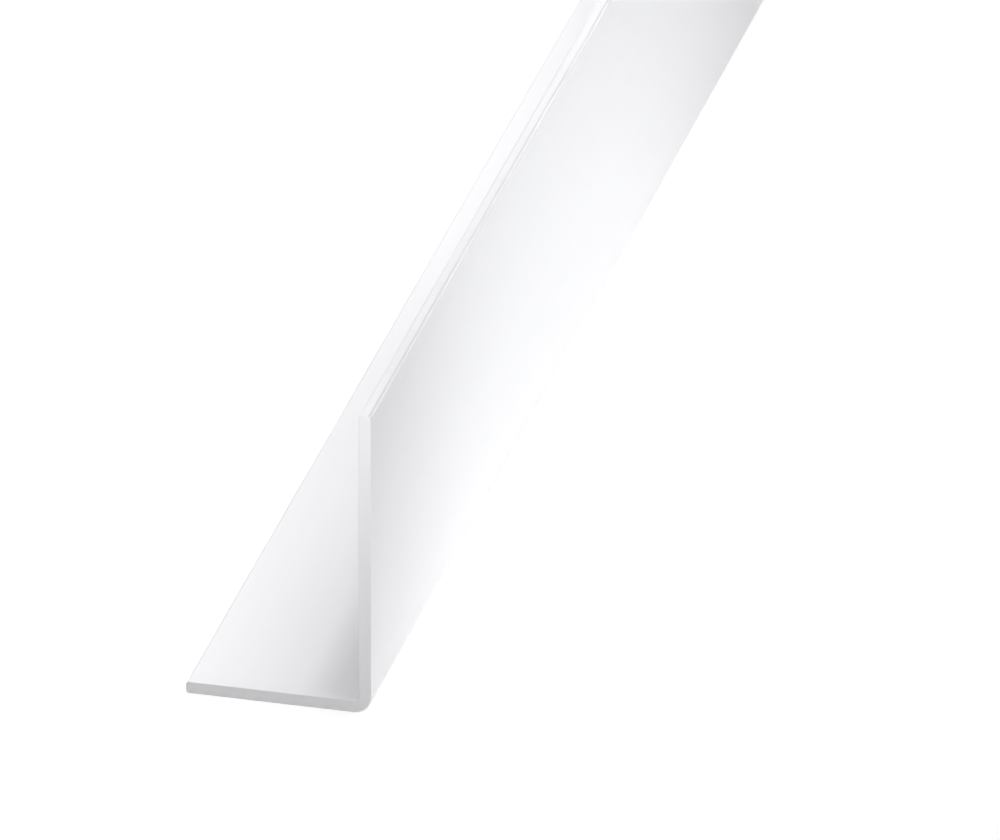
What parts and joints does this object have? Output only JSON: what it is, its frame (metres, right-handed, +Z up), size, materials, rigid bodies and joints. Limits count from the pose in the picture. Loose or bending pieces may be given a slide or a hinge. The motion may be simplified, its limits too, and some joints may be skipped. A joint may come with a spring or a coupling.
{
  "type": "unequal pvc angle",
  "caption": "White PVC angle stock with one long and one short leg, a rounded heel and rounded toes, cut square; glued into or over a corner to trim and protect it.",
  "frame": {"origin": "middle of the footprint, on the underside of the short leg, midway along the length", "axes": "+Y along the length, +Z up the long leg, +X from the short leg's toe towards the long leg's outer face"},
  "size_m": [0.015, 1, 0.026],
  "materials": {
    "white_pvc": "smooth extruded skin with a soft sheen, ends sawn matt"
  },
  "bodies": {
    "root": {"angle_profile": "white_pvc"}
  },
  "joints": []
}
